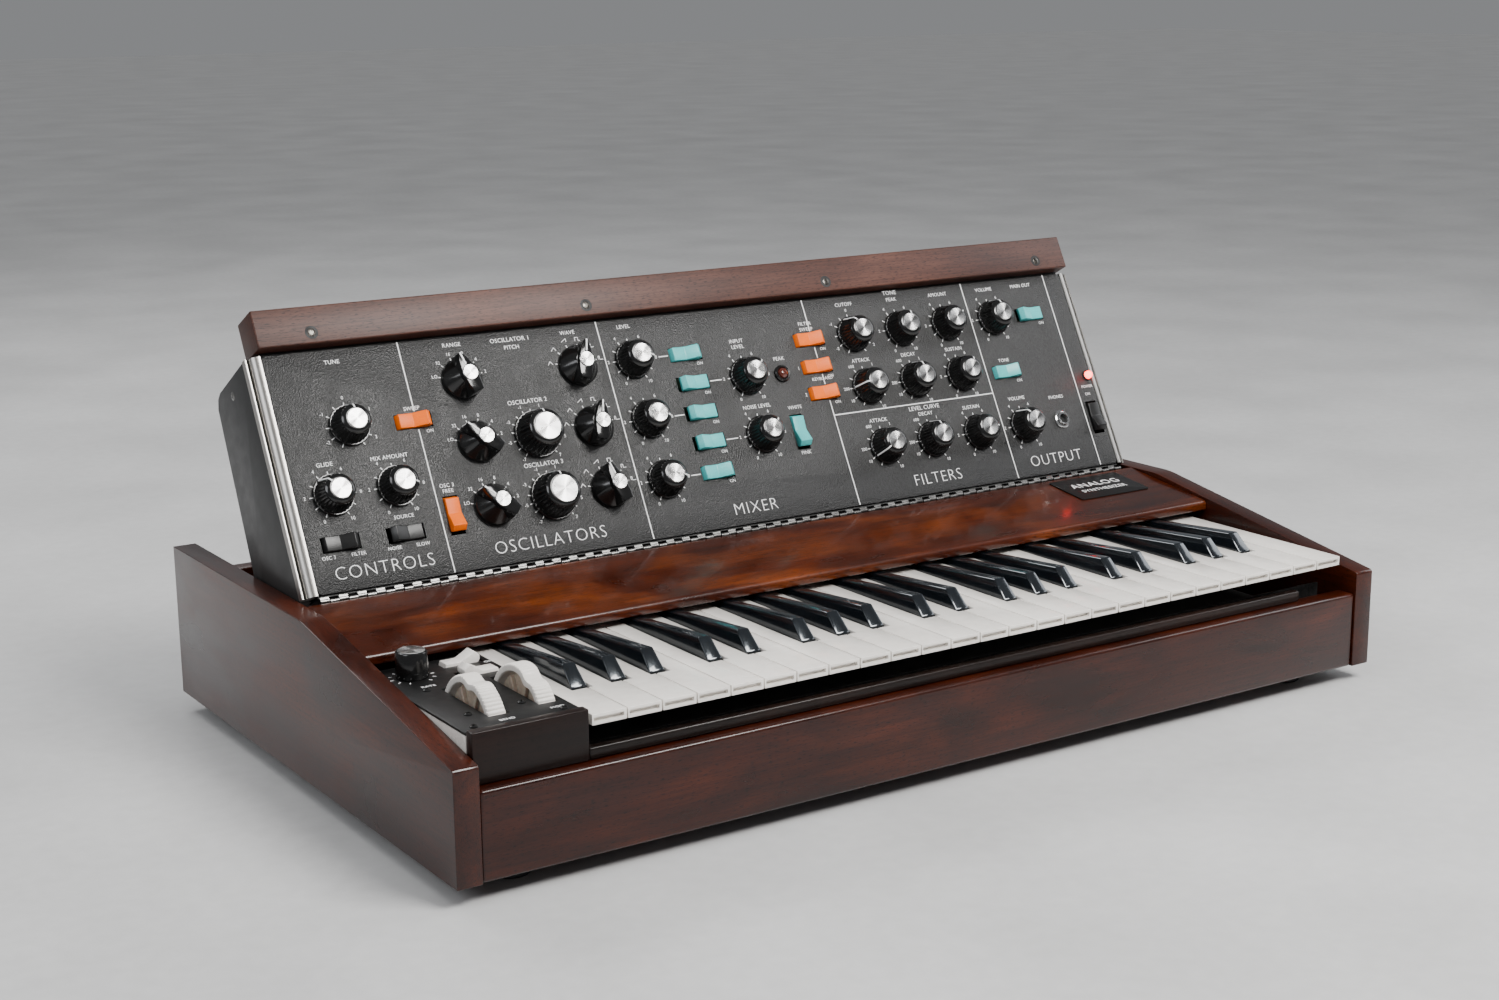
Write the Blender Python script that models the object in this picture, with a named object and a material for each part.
"""Keyboard synthesizer with a wooden case and a control panel that folds up on a hinge.

Frame: metres, +X to the player's right, +Y away from the player, +Z up. The origin is the
centre of the footprint, on the surface that the rubber feet stand on.
"""
import math

import bmesh
import bpy
from mathutils import Matrix

MM = 0.001
GAP = 0.3 * MM                       # clearance between pieces that meet

# --- wooden case -----------------------------------------------------------------
CASE_WIDTH = 728 * MM
CASE_DEPTH = 430 * MM
CHEEK_THICKNESS = 16 * MM
FOOT_HEIGHT = 12 * MM
CHEEK_FRONT_TOP = 81.4 * MM
CHEEK_BEND_Y = -3.4 * MM             # the sloping top edge meets the level one here
CHEEK_REAR_TOP = 117 * MM
CHEEK_ROUNDING = 3 * MM
RAIL_TOP = 66 * MM
RAIL_THICKNESS = 15 * MM
RAIL_SETBACK = 1 * MM
REAR_BOARD_TOP = 98 * MM
BASE_THICKNESS = 12 * MM
FOOT_RADIUS = 14 * MM
FOOT_INSET_X = 34 * MM
FOOT_INSET_Y = 36 * MM

INNER_HALF = CASE_WIDTH / 2 - CHEEK_THICKNESS - GAP
FRONT_Y = -CASE_DEPTH / 2
REAR_Y = CASE_DEPTH / 2
RAIL_BACK_Y = FRONT_Y + RAIL_SETBACK + RAIL_THICKNESS
BASE_TOP = FOOT_HEIGHT + BASE_THICKNESS

# --- panel hinge and shelf -------------------------------------------------------
HINGE_Y = 21 * MM
HINGE_Z = 117 * MM
PANEL_TILT = math.radians(62.1)      # panel above the horizontal, as it stands open
SHELF_REAR_Y = 20 * MM
SHELF_FRONT_Y = -65 * MM
SHELF_FRONT_TOP = 105.5 * MM
SHELF_UNDERSIDE = 98.3 * MM
APRON_THICKNESS = 12 * MM
BARREL_RADIUS = 2.3 * MM
LEAF_THICKNESS = 1.2 * MM
KNUCKLE_PAIRS = 12
HINGE_HALF = 338 * MM

# --- keyboard --------------------------------------------------------------------
WHITE_COUNT = 26
LOW_WHITES = 14                      # two octaves, F to E
KEYS_LEFT_X = -272 * MM
WHITE_PITCH = 23.54 * MM
KEY_SLIT = 0.9 * MM
WHITE_TOP = 93 * MM
WHITE_BOTTOM = 85 * MM
WHITE_FRONT_Y = -205.5 * MM
NOTCH_FRONT_Y = -160 * MM
NOTCH_HALF = 7 * MM
WHITE_BAR_Y = (-26 * MM, -13 * MM)   # hidden bar that joins a group of white keys
BLACK_FRONT_Y = -157 * MM
BLACK_CREST_Y = -143 * MM
BLACK_CREST_Z = 104.3 * MM
BLACK_SHELF_Z = 97.5 * MM            # top of a black key where it goes under the shelf
BLACK_FOOT_Z = 86.5 * MM
BLACK_REAR_Y = -28 * MM
BLACK_TAIL_Z = (94.7 * MM, 97 * MM)
BLACK_BAR_Y = (-11 * MM, -3 * MM)
BLACK_FOOT_HALF = 5.6 * MM
BLACK_CREST_HALF = 4.5 * MM
KEY_PIVOT_Y = -8 * MM
KEY_PIVOT_Z = 89 * MM
WHITE_NAMES = "FGABCDE"              # order of the white keys from the left

# --- left-hand controller --------------------------------------------------------
BOX_LEFT_X = -347.4 * MM
BOX_RIGHT_X = -273.8 * MM
BOX_FRONT_Y = -198.6 * MM
BOX_REAR_Y = -66 * MM
BOX_BOTTOM = 64 * MM
PLATE_BOTTOM = 93.6 * MM
PLATE_TOP = 95.2 * MM
BOX_WALL = 2 * MM
FASCIA_FRONT_Y = -206 * MM
FASCIA_TOP = 97 * MM
SLIP_TOP = 73.5 * MM
SLIP_THICKNESS = 8 * MM
SLIP_RIGHT_X = 300 * MM
WHEEL_RADIUS = 33 * MM
WHEEL_WIDTH = 11.5 * MM
WHEEL_Z = 77.5 * MM
PITCH_WHEEL_XY = (-317 * MM, -150 * MM)
MOD_WHEEL_XY = (-283.5 * MM, -147 * MM)
RATE_KNOB_XY = (-327.5 * MM, -89 * MM)

# --- control panel, in its own lying frame: X, up the panel S, outward N ------------
FACE_HALF = 337.5 * MM
FACE_S = (4.6 * MM, 166 * MM)
FACE_THICKNESS = 2 * MM
SHELL_HALF = 347.4 * MM
SHELL_WALL = 2 * MM
TRIM_WIDTH = 9.6 * MM
TOP_RAIL_HALF = 341 * MM
TOP_RAIL_S = (167 * MM, 194 * MM)
TOP_RAIL_N = (-18 * MM, 8 * MM)
BOARD_N = -31.6 * MM
BOARD_THICKNESS = 1.6 * MM

PITCH = 44.45 * MM                   # spacing of the panel's columns and rows
ROW_TOP = 134.5 * MM
CONTOUR_ROW = 93 * MM
OSCILLATOR_X = -203 * MM             # first oscillator column
FILTER_X = 122 * MM                  # first filter column
OUTPUT_X = 257 * MM
CONTROL_X = -290 * MM                # tuning knob, above the middle of its section
EXTERNAL_X = 19.5 * MM
MIXER_SWITCH_X = -26 * MM
PANEL_CLEARANCE = 0.4 * MM
SELECTOR_STEP = 31.2                 # degrees between a selector's six positions

# --- knobs and rockers -----------------------------------------------------------
SHAFT_RADIUS = 3 * MM
SHAFT_HOLE_RADIUS = 4.2 * MM
SHAFT_DEPTH = 6 * MM
KNOB_SIDES = 16
POINTER_SIDES = 24
POINTER_HALF = 4.4 * MM              # half the width of the pointer knob's bar
POINTER_TIP = 15.5 * MM
ROCKER_HALF_LENGTH = 12.3 * MM
ROCKER_HALF_WIDTH = 4.5 * MM
ROCKER_TILT = math.radians(10)
ROCKER_PIVOT_N = -3 * MM
ROCKER_SLOT = (13.8 * MM, 5.2 * MM)

# --- prop stay -------------------------------------------------------------------
STAY_Y = 52 * MM
STAY_Z = 28 * MM
STAY_LENGTH = 140 * MM
STAY_HALF_WIDTH = 30 * MM
STAY_THICKNESS = 3 * MM
STAY_ANGLE = math.radians(52.5)
STAY_BARREL_RADIUS = 3.2 * MM


def row(half_steps):
    """Height up the panel of a row, counted in half pitches down from the top one."""
    return ROW_TOP - half_steps * PITCH / 2


def detent(position):
    """Clock angle of a selector's position, 0 to 5, in degrees."""
    return (position - 2.5) * SELECTOR_STEP


def column(first, steps):
    """X of a column, counted in whole pitches to the right of the first one."""
    return first + steps * PITCH


# name: (x, s, kind, clock angle of the pointer at rest in degrees)
PANEL_KNOBS = {
    "tune_knob": (CONTROL_X, row(1), "small", 0),
    "glide_knob": (CONTROL_X - PITCH / 2, row(3), "small", -40),
    "modulation_mix_knob": (CONTROL_X + PITCH / 2, row(3), "small", 105),
    "range_1_knob": (column(OSCILLATOR_X, 0), row(0), "pointer", detent(2)),
    "range_2_knob": (column(OSCILLATOR_X, 0), row(2), "pointer", detent(1)),
    "range_3_knob": (column(OSCILLATOR_X, 0), row(4), "pointer", detent(1)),
    "frequency_2_knob": (column(OSCILLATOR_X, 1), row(2), "large", 0),
    "frequency_3_knob": (column(OSCILLATOR_X, 1), row(4), "large", 0),
    "waveform_1_knob": (column(OSCILLATOR_X, 2), row(0), "pointer", detent(3)),
    "waveform_2_knob": (column(OSCILLATOR_X, 2), row(2), "pointer", detent(3)),
    "waveform_3_knob": (column(OSCILLATOR_X, 2), row(4), "pointer", detent(2)),
    "volume_1_knob": (column(OSCILLATOR_X, 3), row(0), "small", 105),
    "volume_2_knob": (column(OSCILLATOR_X, 3), row(2), "small", 105),
    "volume_3_knob": (column(OSCILLATOR_X, 3), row(4), "small", 105),
    "external_volume_knob": (EXTERNAL_X, row(1), "small", 45),
    "noise_volume_knob": (EXTERNAL_X, row(3), "small", 45),
    "cutoff_knob": (column(FILTER_X, 0), row(0), "small", -30),
    "emphasis_knob": (column(FILTER_X, 1), row(0), "small", 20),
    "contour_amount_knob": (column(FILTER_X, 2), row(0), "small", 60),
    "filter_attack_knob": (column(FILTER_X, 0), CONTOUR_ROW, "small", -90),
    "filter_decay_knob": (column(FILTER_X, 1), CONTOUR_ROW, "small", 0),
    "filter_sustain_knob": (column(FILTER_X, 2), CONTOUR_ROW, "small", 30),
    "loudness_attack_knob": (column(FILTER_X, 0), row(4), "small", -120),
    "loudness_decay_knob": (column(FILTER_X, 1), row(4), "small", 0),
    "loudness_sustain_knob": (column(FILTER_X, 2), row(4), "small", 90),
    "main_volume_knob": (OUTPUT_X, row(0), "small", 0),
    "phones_volume_knob": (OUTPUT_X, row(4), "small", -30),
}

# name: (x, s, lies along, end that is pressed at rest, colour)
PANEL_ROCKERS = {
    "mixer_switch_1": (MIXER_SWITCH_X, row(0), "x", "low", "blue"),
    "mixer_switch_2": (MIXER_SWITCH_X, row(1), "x", "high", "blue"),
    "mixer_switch_3": (MIXER_SWITCH_X, row(2), "x", "high", "blue"),
    "mixer_switch_4": (MIXER_SWITCH_X, row(3), "x", "high", "blue"),
    "mixer_switch_5": (MIXER_SWITCH_X, row(4), "x", "low", "blue"),
    "oscillator_modulation_switch": (-244.7 * MM, 110.3 * MM, "x", "low", "orange"),
    "oscillator_3_switch": (-233 * MM, 43 * MM, "s", "high", "orange"),
    "main_output_switch": (294.5 * MM, row(0), "x", "high", "blue"),
    "power_switch": (329 * MM, 44 * MM, "s", "high", "black"),
}


# --- mesh tools ------------------------------------------------------------------
def clear_scene():
    for found in list(bpy.data.objects):
        bpy.data.objects.remove(found, do_unlink=True)


def material(name, colour, roughness, metallic=0.0):
    """The named Principled material, made the first time it is asked for."""
    known = bpy.data.materials.get(name)
    if known:
        return known
    made = bpy.data.materials.new(name)
    made.use_nodes = True
    shader = made.node_tree.nodes["Principled BSDF"]
    shader.inputs["Base Color"].default_value = (*colour, 1)
    shader.inputs["Roughness"].default_value = roughness
    shader.inputs["Metallic"].default_value = metallic
    return made


def wood():
    return material("wood", (0.16, 0.045, 0.018), 0.35)


def black_metal():
    return material("black_metal", (0.03, 0.03, 0.032), 0.55, 0.3)


def bright_metal():
    return material("bright_metal", (0.72, 0.72, 0.73), 0.3, 1.0)


def black_plastic():
    return material("black_plastic", (0.015, 0.015, 0.016), 0.35)


def white_plastic():
    return material("white_plastic", (0.86, 0.84, 0.8), 0.3)


def rocker_plastic(colour):
    colours = {"blue": (0.25, 0.6, 0.62), "orange": (0.95, 0.3, 0.02), "black": (0.02, 0.02, 0.02)}
    return material(colour + "_plastic", colours[colour], 0.4)


def circuit_board():
    return material("circuit_board", (0.02, 0.16, 0.07), 0.5)


def add(name, mesh, finish, parent=None, location=(0, 0, 0), rotation=(0, 0, 0)):
    """Make the named object from a bmesh, with its finish and its place."""
    bmesh.ops.recalc_face_normals(mesh, faces=mesh.faces)
    data = bpy.data.meshes.new(name)
    mesh.to_mesh(data)
    mesh.free()
    data.materials.append(finish)
    made = bpy.data.objects.new(name, data)
    bpy.context.scene.collection.objects.link(made)
    made.parent = parent
    made.location = location
    made.rotation_euler = rotation
    return made


def smooth(made, angle=35):
    made.data.shade_smooth()
    made.data.set_sharp_from_angle(angle=math.radians(angle))
    return made


def prism(outline, axis, low, high, mesh=None):
    """Extrude a closed outline along X, Y or Z; its points are the other two axes in order."""
    mesh = mesh or bmesh.new()
    ends = []
    for height in (low, high):
        corners = []
        for first, second in outline:
            point = {"x": (height, first, second),
                     "y": (first, height, second),
                     "z": (first, second, height)}[axis]
            corners.append(mesh.verts.new(point))
        ends.append(corners)
    count = len(outline)
    for index in range(count):
        after = (index + 1) % count
        mesh.faces.new((ends[0][index], ends[0][after], ends[1][after], ends[1][index]))
    mesh.faces.new(ends[0])
    mesh.faces.new(ends[1])
    return mesh


def box(x_range, y_range, z_range, mesh=None):
    corners = [(x_range[0], y_range[0]), (x_range[1], y_range[0]),
               (x_range[1], y_range[1]), (x_range[0], y_range[1])]
    return prism(corners, "z", z_range[0], z_range[1], mesh)


def circle(radius, sides, centre=(0, 0)):
    points = []
    for index in range(sides):
        angle = math.tau * (index + 0.5) / sides
        points.append((centre[0] + radius * math.cos(angle), centre[1] + radius * math.sin(angle)))
    return points


def stacked(rings, sides):
    """A solid through rings of (height, radius), where a radius may depend on the angle."""
    mesh = bmesh.new()
    loops = []
    for height, radius in rings:
        corners = []
        for index in range(sides):
            angle = math.tau * index / sides
            reach = radius(angle) if callable(radius) else radius
            corners.append(mesh.verts.new((reach * math.cos(angle), reach * math.sin(angle), height)))
        loops.append(corners)
    for lower, upper in zip(loops, loops[1:]):
        for index in range(sides):
            after = (index + 1) % sides
            mesh.faces.new((lower[index], lower[after], upper[after], upper[index]))
    mesh.faces.new(loops[0])
    mesh.faces.new(loops[-1])
    return mesh


def bevel(mesh, width, segments, chosen=None):
    edges = [edge for edge in mesh.edges if chosen is None or chosen(edge)]
    bmesh.ops.bevel(mesh, geom=edges, offset=width, segments=segments, affect="EDGES", profile=0.5)
    return mesh


def combine(target, name, mesh, operation):
    """Add or cut the given solids with a Boolean; the helper object is never built."""
    helper = add(name, mesh, target.data.materials[0], target.parent,
                 target.location, target.rotation_euler)
    helper.hide_render = True
    helper.hide_viewport = True
    helper.display_type = "WIRE"
    modifier = target.modifiers.new(name, "BOOLEAN")
    modifier.operation = operation
    modifier.solver = "EXACT"
    modifier.object = helper
    return target


# --- case ------------------------------------------------------------------------
def make_cheek(name, side):
    outline = [(FRONT_Y, FOOT_HEIGHT), (REAR_Y, FOOT_HEIGHT), (REAR_Y, CHEEK_REAR_TOP),
               (CHEEK_BEND_Y, CHEEK_REAR_TOP), (FRONT_Y, CHEEK_FRONT_TOP)]
    inner = side * (CASE_WIDTH / 2 - CHEEK_THICKNESS)
    mesh = prism(outline, "x", min(inner, side * CASE_WIDTH / 2), max(inner, side * CASE_WIDTH / 2))
    bevel(mesh, CHEEK_ROUNDING, 2)
    add(name, mesh, wood())


def make_boards():
    span = (-INNER_HALF, INNER_HALF)
    front = box(span, (FRONT_Y + RAIL_SETBACK, RAIL_BACK_Y), (FOOT_HEIGHT, RAIL_TOP))
    bevel(front, 2 * MM, 2, lambda edge: all(v.co.z > RAIL_TOP - MM for v in edge.verts))
    add("front_rail", front, wood())
    rear_front_y = REAR_Y - RAIL_THICKNESS - RAIL_SETBACK
    add("rear_board", box(span, (rear_front_y, REAR_Y - RAIL_SETBACK), (FOOT_HEIGHT, REAR_BOARD_TOP)), wood())
    depth = (RAIL_BACK_Y + GAP, rear_front_y - GAP)
    base = add("base_board", box(span, depth, (FOOT_HEIGHT, BASE_TOP)), wood())
    feet = bmesh.new()
    for side_x in (-1, 1):
        for side_y in (-1, 1):
            centre = (side_x * (INNER_HALF - FOOT_INSET_X), side_y * (REAR_Y - FOOT_INSET_Y))
            prism(circle(FOOT_RADIUS, 16, centre), "z", 0, FOOT_HEIGHT + 2 * MM, feet)
    combine(base, "feet_joined", feet, "UNION")


def make_shelf():
    nose = 3 * MM
    rebate_y, rebate_z = HINGE_Y - BARREL_RADIUS - GAP, HINGE_Z - BARREL_RADIUS - GAP
    outline = [(SHELF_REAR_Y, BASE_TOP + GAP), (SHELF_REAR_Y, rebate_z), (rebate_y, rebate_z),
               (rebate_y, HINGE_Z - GAP),
               (SHELF_FRONT_Y + nose, SHELF_FRONT_TOP + nose * math.tan(math.radians(7.6))),
               (SHELF_FRONT_Y, SHELF_FRONT_TOP - nose / 2), (SHELF_FRONT_Y, SHELF_UNDERSIDE),
               (SHELF_REAR_Y - APRON_THICKNESS, SHELF_UNDERSIDE),
               (SHELF_REAR_Y - APRON_THICKNESS, BASE_TOP + GAP)]
    add("shelf_board", prism(outline, "x", -INNER_HALF, INNER_HALF), wood())


def knuckles(start):
    """Barrel pieces of one hinge leaf, every second one along the hinge, about X."""
    mesh = bmesh.new()
    pitch = 2 * HINGE_HALF / (2 * KNUCKLE_PAIRS)
    for index in range(start, 2 * KNUCKLE_PAIRS, 2):
        low = -HINGE_HALF + index * pitch + GAP
        prism(circle(BARREL_RADIUS, 8), "x", low, low + pitch - 2 * GAP, mesh)
    return mesh


def tabs(start, s_range, n_range):
    """Short webs that join the barrel pieces of one leaf to its plate."""
    mesh = bmesh.new()
    pitch = 2 * HINGE_HALF / (2 * KNUCKLE_PAIRS)
    for index in range(start, 2 * KNUCKLE_PAIRS, 2):
        low = -HINGE_HALF + index * pitch + 2 * GAP
        box((low, low + pitch - 4 * GAP), s_range, n_range, mesh)
    return mesh


def make_lower_leaf():
    plate = box((-HINGE_HALF, HINGE_HALF), (-0.7 * MM, -0.7 * MM + LEAF_THICKNESS), (-20 * MM, -3.2 * MM))
    leaf = add("hinge_lower_leaf", plate, bright_metal(), None, (0, HINGE_Y, HINGE_Z))
    combine(leaf, "lower_webs", tabs(0, (-0.6 * MM, 0.4 * MM), (-4.5 * MM, 0)), "UNION")
    combine(leaf, "lower_barrel", knuckles(0), "UNION")


def make_upper_leaf(pivot):
    plate = box((-HINGE_HALF, HINGE_HALF), (3.0 * MM, 3.0 * MM + LEAF_THICKNESS), (-18 * MM, -0.6 * MM))
    leaf = add("hinge_upper_leaf", plate, bright_metal(), pivot)
    combine(leaf, "upper_webs", tabs(1, (0, 3.6 * MM), (-1.8 * MM, -0.8 * MM)), "UNION")
    combine(leaf, "upper_barrel", knuckles(1), "UNION")


def make_key_bed():
    left = KEYS_LEFT_X + 2 * MM
    right = KEYS_LEFT_X + WHITE_COUNT * WHITE_PITCH - 2 * MM
    sheet = 2 * MM
    front, back, floor = -188 * MM, 6 * MM, 44 * MM
    outline = [(front, floor), (back, floor), (back, 84 * MM), (back - sheet, 84 * MM),
               (back - sheet, floor + sheet), (front + sheet, floor + sheet),
               (front + sheet, 70 * MM), (front, 70 * MM)]
    add("key_bed", prism(outline, "x", left, right), bright_metal())


# --- keyboard --------------------------------------------------------------------
def black_centres():
    """X of each black key, with the whites it stands between."""
    centres = []
    for index in range(WHITE_COUNT - 1):
        name = WHITE_NAMES[index % 7]
        if name in "BE":
            continue
        if name in "FGA":
            group_start = index - "FGA".index(name)
            step = 4 * WHITE_PITCH / 7
            place = 2 * "FGA".index(name) + 1
        else:
            group_start = index - "CD".index(name)
            step = 3 * WHITE_PITCH / 5
            place = 2 * "CD".index(name) + 1
        centres.append((index, KEYS_LEFT_X + group_start * WHITE_PITCH + (place + 0.5) * step))
    return centres


def white_outline(index):
    """Plan of one white key, notched for the black keys beside it."""
    left = KEYS_LEFT_X + index * WHITE_PITCH + KEY_SLIT / 2
    right = left + WHITE_PITCH - KEY_SLIT
    tail_left, tail_right = left, right
    for before, centre in black_centres():
        if before == index - 1:
            tail_left = centre + NOTCH_HALF
        if before == index:
            tail_right = centre - NOTCH_HALF
    outline = [(left, WHITE_FRONT_Y), (right, WHITE_FRONT_Y)]
    if tail_right < right:
        outline += [(right, NOTCH_FRONT_Y)]
        outline += [(tail_right, NOTCH_FRONT_Y)]
    outline += [(tail_right, WHITE_BAR_Y[0] + MM), (tail_left, WHITE_BAR_Y[0] + MM)]
    if tail_left > left:
        outline += [(tail_left, NOTCH_FRONT_Y)]
        outline += [(left, NOTCH_FRONT_Y)]
    return outline


def make_white_keys(name, first, last, pivot):
    left = KEYS_LEFT_X + first * WHITE_PITCH + KEY_SLIT / 2
    right = KEYS_LEFT_X + last * WHITE_PITCH - KEY_SLIT / 2
    bar = box((left + MM, right - MM), WHITE_BAR_Y, (WHITE_BOTTOM + MM, WHITE_TOP - MM))
    keys = bmesh.new()
    for index in range(first, last):
        prism(white_outline(index), "z", WHITE_BOTTOM, WHITE_TOP, keys)
    for part in (bar, keys):
        part.transform(Matrix.Translation((0, -KEY_PIVOT_Y, -KEY_PIVOT_Z)))
    comb = add(name, bar, white_plastic(), pivot)
    combine(comb, name + "_joined", keys, "UNION")


def black_key(centre, mesh):
    """One black key: a tapered block with a sloping front, lower towards the back."""
    rows = [(BLACK_FRONT_Y, BLACK_FOOT_Z, BLACK_FOOT_HALF, WHITE_TOP + MM, BLACK_FOOT_HALF),
            (BLACK_CREST_Y, BLACK_FOOT_Z, BLACK_FOOT_HALF, BLACK_CREST_Z, BLACK_CREST_HALF),
            (SHELF_FRONT_Y - MM, BLACK_FOOT_Z, BLACK_FOOT_HALF, BLACK_SHELF_Z, BLACK_CREST_HALF),
            (BLACK_REAR_Y, BLACK_FOOT_Z, BLACK_FOOT_HALF, BLACK_TAIL_Z[1] - 0.1 * MM, BLACK_CREST_HALF)]
    loops = []
    for y, low, low_half, high, high_half in rows:
        section = [(-low_half, low), (low_half, low), (high_half, high), (-high_half, high)]
        loops.append([mesh.verts.new((centre + offset, y, z)) for offset, z in section])
    for near, far in zip(loops, loops[1:]):
        for index in range(4):
            after = (index + 1) % 4
            mesh.faces.new((near[index], near[after], far[after], far[index]))
    mesh.faces.new(loops[0])
    mesh.faces.new(loops[-1])


def make_black_keys(name, first, last, pivot):
    chosen = [centre for index, centre in black_centres() if first <= index < last]
    left, right = chosen[0] - BLACK_CREST_HALF, chosen[-1] + BLACK_CREST_HALF
    bar = box((left, right), BLACK_BAR_Y, BLACK_TAIL_Z)
    tails = bmesh.new()
    blocks = bmesh.new()
    for centre in chosen:
        inset = BLACK_CREST_HALF - MM
        low, high = BLACK_TAIL_Z[0] + 0.3 * MM, BLACK_TAIL_Z[1] - 0.3 * MM
        tail_y = (BLACK_REAR_Y - 3 * MM, BLACK_BAR_Y[0] + 2 * MM)
        box((centre - inset, centre + inset), tail_y, (low, high), tails)
        black_key(centre, blocks)
    for part in (bar, tails, blocks):
        part.transform(Matrix.Translation((0, -KEY_PIVOT_Y, -KEY_PIVOT_Z)))
    comb = add(name, bar, black_plastic(), pivot)
    combine(comb, name + "_tails", tails, "UNION")
    combine(comb, name + "_joined", blocks, "UNION")


def make_keyboard():
    pivot = bpy.data.objects.new("key_pivot", None)
    bpy.context.scene.collection.objects.link(pivot)
    pivot.location = (0, KEY_PIVOT_Y, KEY_PIVOT_Z)
    for part, first, last in (("low", 0, LOW_WHITES), ("high", LOW_WHITES, WHITE_COUNT)):
        make_white_keys("white_keys_" + part, first, last, pivot)
        make_black_keys("black_keys_" + part, first, last, pivot)


# --- left-hand controller --------------------------------------------------------
def make_controller():
    tray = add("controller_box", box((BOX_LEFT_X, BOX_RIGHT_X), (BOX_FRONT_Y, BOX_REAR_Y),
                                     (BOX_BOTTOM, PLATE_BOTTOM - GAP)), white_plastic())
    hollow = box((BOX_LEFT_X + BOX_WALL, BOX_RIGHT_X - BOX_WALL),
                 (BOX_FRONT_Y + BOX_WALL, BOX_REAR_Y - BOX_WALL), (BOX_BOTTOM - MM, PLATE_BOTTOM + MM))
    combine(tray, "box_hollow", hollow, "DIFFERENCE")
    plate = add("controller_plate", box((BOX_LEFT_X, BOX_RIGHT_X), (BOX_FRONT_Y, BOX_REAR_Y),
                                        (PLATE_BOTTOM, PLATE_TOP)), black_metal())
    slots = bmesh.new()
    rise = PLATE_TOP - WHEEL_Z
    reach = math.sqrt(WHEEL_RADIUS ** 2 - (rise - 2 * MM) ** 2) + 2 * MM
    for x, y in (PITCH_WHEEL_XY, MOD_WHEEL_XY):
        half = WHEEL_WIDTH / 2 + 1.2 * MM
        box((x - half, x + half), (y - reach, y + reach), (PLATE_BOTTOM - MM, PLATE_TOP + MM), slots)
    prism(circle(SHAFT_HOLE_RADIUS, 8, RATE_KNOB_XY), "z", PLATE_BOTTOM - MM, PLATE_TOP + MM, slots)
    combine(plate, "plate_slots", slots, "DIFFERENCE")
    outline = [(BOX_LEFT_X, RAIL_TOP + GAP), (SLIP_RIGHT_X, RAIL_TOP + GAP), (SLIP_RIGHT_X, SLIP_TOP),
               (BOX_RIGHT_X, SLIP_TOP), (BOX_RIGHT_X, FASCIA_TOP), (BOX_LEFT_X, FASCIA_TOP)]
    slip = prism(outline, "y", FASCIA_FRONT_Y, FASCIA_FRONT_Y + SLIP_THICKNESS - MM)
    add("key_slip", slip, wood())


def make_wheel(name, place):
    mesh = stacked([(-WHEEL_WIDTH / 2, WHEEL_RADIUS - MM), (-WHEEL_WIDTH / 2 + MM, WHEEL_RADIUS),
                    (WHEEL_WIDTH / 2 - MM, WHEEL_RADIUS), (WHEEL_WIDTH / 2, WHEEL_RADIUS - MM)], 36)
    mesh.transform(Matrix.Rotation(math.radians(90), 4, "Y"))
    smooth(add(name, mesh, white_plastic(), None, (*place, WHEEL_Z)))


# --- knobs and rockers -----------------------------------------------------------
def pointer_base(angle):
    """Round skirt of a pointer knob, drawn out to a beak along +Y."""
    off = abs(math.atan2(math.sin(angle - math.pi / 2), math.cos(angle - math.pi / 2)))
    beak = POINTER_TIP * (1 - off / math.radians(38))
    return max(14.4 * MM, beak)


def pointer_bar(angle):
    """Straight-sided bar across a pointer knob, as long as its skirt."""
    across = abs(math.cos(angle))
    if across < 1e-6:
        return pointer_base(angle) - 0.4 * MM
    return min(pointer_base(angle) - 0.4 * MM, POINTER_HALF / across)


KNOB_RINGS = {
    "small": [(0, 14 * MM), (2.5 * MM, 13.7 * MM), (14.5 * MM, 10.2 * MM), (16.6 * MM, 9.4 * MM)],
    "large": [(0, 16.9 * MM), (2.8 * MM, 16.5 * MM), (17 * MM, 12.8 * MM), (19.6 * MM, 11.8 * MM)],
    "pointer": [(0, pointer_base), (5.5 * MM, pointer_base), (7 * MM, pointer_bar), (14.5 * MM, pointer_bar),
                (14.9 * MM, 4.3 * MM), (16.5 * MM, 4.2 * MM)],
    "rate": [(0, 10.2 * MM), (15 * MM, 9.8 * MM), (16.8 * MM, 8.6 * MM)],
}


def make_knob(name, kind, parent, location, clock_degrees):
    sides = POINTER_SIDES if kind == "pointer" else KNOB_SIDES
    shaft = [(-SHAFT_DEPTH, SHAFT_RADIUS), (0, SHAFT_RADIUS)]
    mesh = stacked(shaft + KNOB_RINGS[kind], sides)
    knob = add(name, mesh, black_plastic(), parent, location, (0, 0, -math.radians(clock_degrees)))
    smooth(knob)


def rocker_mesh():
    """A paddle with a shallow valley across its top, narrower below the panel."""
    side = [(5, -4), (11.6, 1.6), (12.3, 8.2)]
    outline = [(x * MM, z * MM) for x, z in side]
    outline += [(0, 5.4 * MM)]
    outline += [(-x, z) for x, z in reversed(outline[:3])]
    return prism(outline, "y", -ROCKER_HALF_WIDTH, ROCKER_HALF_WIDTH)


def make_rocker(name, x, s, lies_along, pressed, colour, pivot):
    turn = math.radians(90) if lies_along == "s" else 0
    tilt = ROCKER_TILT if pressed == "high" else -ROCKER_TILT
    rocker = add(name, rocker_mesh(), rocker_plastic(colour), pivot, (x, s, ROCKER_PIVOT_N))
    rocker.rotation_euler = (Matrix.Rotation(turn, 3, "Z") @ Matrix.Rotation(tilt, 3, "Y")).to_euler()


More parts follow.
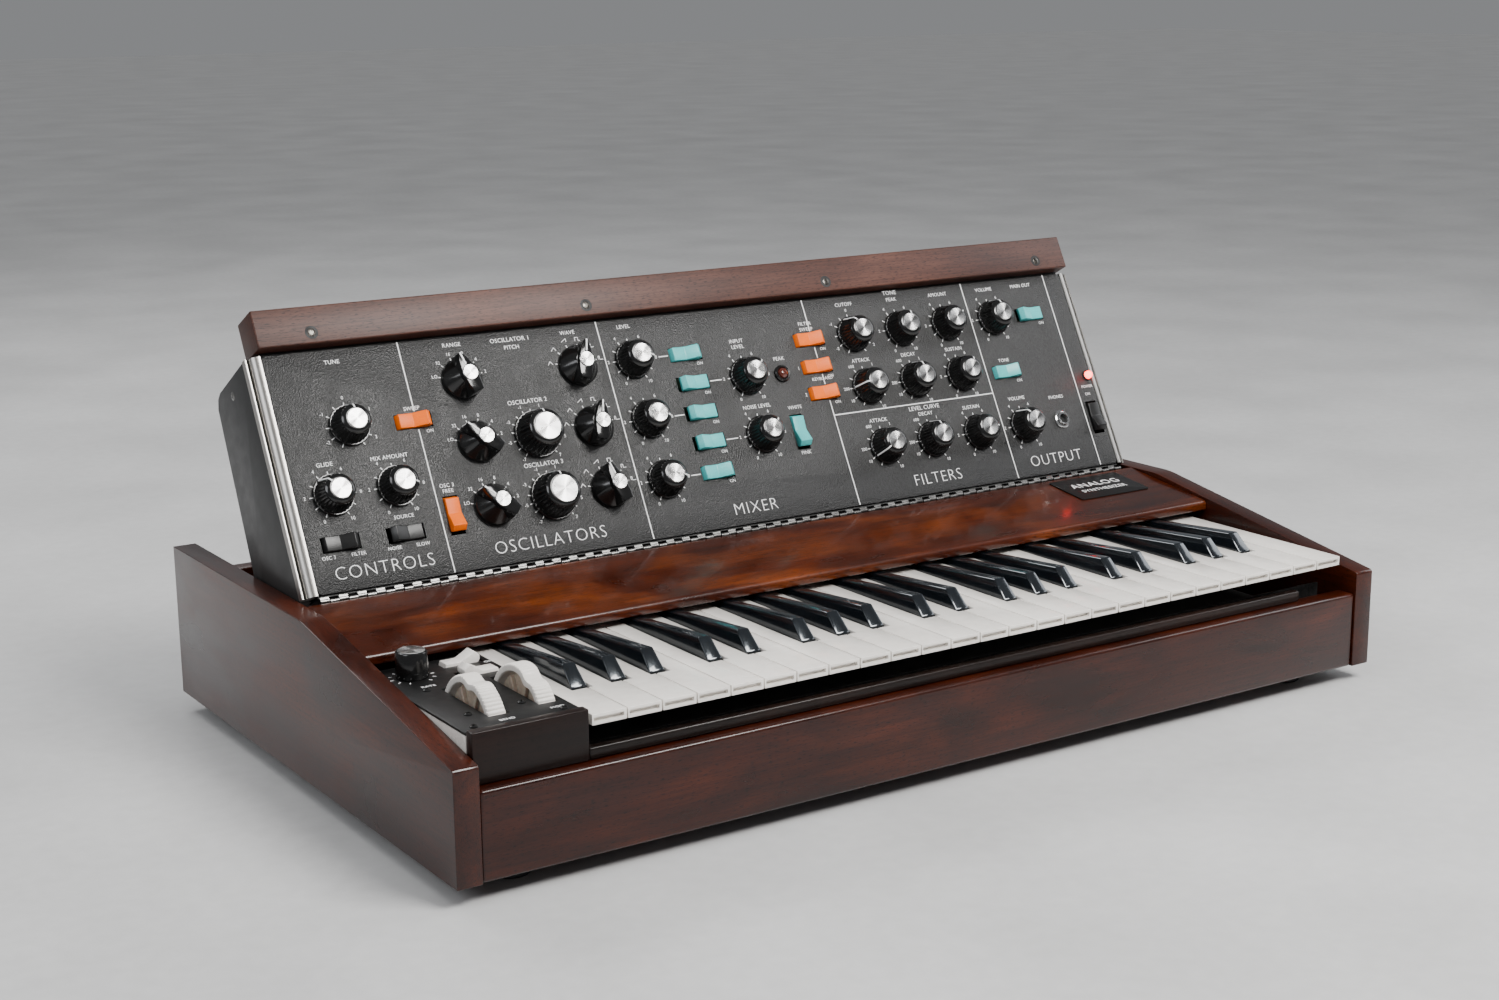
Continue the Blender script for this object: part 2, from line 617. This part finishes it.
# --- console ---------------------------------------------------------------------
SHELL_OUTLINE = [(4.5, 0.4), (165.5, 0.4), (162.5, -60), (160, -66), (154, -70), (10, -79), (4.5, -74)]
HOLLOW_OUTLINE = [(6.5, -8.9), (163, -8.9), (160.4, -59.5), (153, -68), (11, -76.8), (6.5, -73)]


def scaled(outline):
    return [(first * MM, second * MM) for first, second in outline]


def make_shell(pivot):
    mesh = prism(scaled(SHELL_OUTLINE), "x", -SHELL_HALF, SHELL_HALF)

    def front_side_edge(edge):
        a, b = edge.verts
        along = abs(a.co.y - b.co.y) > 100 * MM
        return along and min(a.co.z, b.co.z) > 0

    bevel(mesh, TRIM_WIDTH - 0.6 * MM, 3, front_side_edge)
    shell = add("console_shell", mesh, black_metal(), pivot)
    across = (-FACE_HALF - GAP, FACE_HALF + GAP)
    along = (FACE_S[0] - 8 * MM, FACE_S[1] + 8 * MM)
    combine(shell, "shell_mouth", box(across, along, (-2.6 * MM, 6 * MM)), "DIFFERENCE")
    inner = FACE_HALF - 2 * MM
    opening = box((-inner, inner), (9 * MM, 160 * MM), (-10 * MM, 3 * MM))
    combine(shell, "shell_front_opening", opening, "DIFFERENCE")
    wide = SHELL_HALF - SHELL_WALL
    combine(shell, "shell_hollow", prism(scaled(HOLLOW_OUTLINE), "x", -wide, wide), "DIFFERENCE")
    inlet = box((268 * MM, 296 * MM), (60 * MM, 82 * MM), (-77.5 * MM, -74.6 * MM))
    combine(shell, "mains_inlet", inlet, "UNION")


def make_faceplate(pivot):
    plate = add("faceplate", box((-FACE_HALF, FACE_HALF), FACE_S, (-FACE_THICKNESS, 0)), black_metal(), pivot)
    holes = bmesh.new()
    for x, s, _, _ in PANEL_KNOBS.values():
        prism(circle(SHAFT_HOLE_RADIUS, 8, (x, s)), "z", -FACE_THICKNESS - MM, MM, holes)
    for x, s, lies_along, _, _ in PANEL_ROCKERS.values():
        half_x, half_s = ROCKER_SLOT if lies_along == "x" else reversed(ROCKER_SLOT)
        box((x - half_x, x + half_x), (s - half_s, s + half_s), (-FACE_THICKNESS - MM, MM), holes)
    combine(plate, "faceplate_holes", holes, "DIFFERENCE")


def make_console():
    pivot = bpy.data.objects.new("console_pivot", None)
    bpy.context.scene.collection.objects.link(pivot)
    pivot.location = (0, HINGE_Y, HINGE_Z)
    pivot.rotation_euler = (PANEL_TILT, 0, 0)
    make_shell(pivot)
    make_faceplate(pivot)
    make_upper_leaf(pivot)
    rail = box((-TOP_RAIL_HALF, TOP_RAIL_HALF), TOP_RAIL_S, TOP_RAIL_N)
    add("console_top_rail", bevel(rail, 2 * MM, 2), wood(), pivot)
    add("main_board", box((-320 * MM, 320 * MM), (20 * MM, 150 * MM), (BOARD_N, BOARD_N + BOARD_THICKNESS)),
        circuit_board(), pivot)
    for name, (x, s, kind, clock) in PANEL_KNOBS.items():
        make_knob(name, kind, pivot, (x, s, PANEL_CLEARANCE), clock)
    for name, (x, s, lies_along, pressed, colour) in PANEL_ROCKERS.items():
        make_rocker(name, x, s, lies_along, pressed, colour, pivot)


def make_prop_stay():
    barrel = prism(circle(STAY_BARREL_RADIUS, 12), "x", -STAY_HALF_WIDTH, STAY_HALF_WIDTH)
    stay = add("prop_stay", barrel, bright_metal(), None, (0, STAY_Y, STAY_Z), (STAY_ANGLE, 0, 0))
    inset = STAY_HALF_WIDTH - MM
    plate = box((-inset, inset), (0, STAY_LENGTH), (-STAY_THICKNESS / 2, STAY_THICKNESS / 2))
    combine(stay, "stay_plate", plate, "UNION")


def main():
    clear_scene()
    make_cheek("left_cheek", -1)
    make_cheek("right_cheek", 1)
    make_boards()
    make_shelf()
    make_lower_leaf()
    make_key_bed()
    make_keyboard()
    make_controller()
    make_wheel("pitch_wheel", PITCH_WHEEL_XY)
    make_wheel("modulation_wheel", MOD_WHEEL_XY)
    make_knob("rate_knob", "rate", None, (*RATE_KNOB_XY, PLATE_TOP + PANEL_CLEARANCE), 0)
    make_console()
    make_prop_stay()


main()
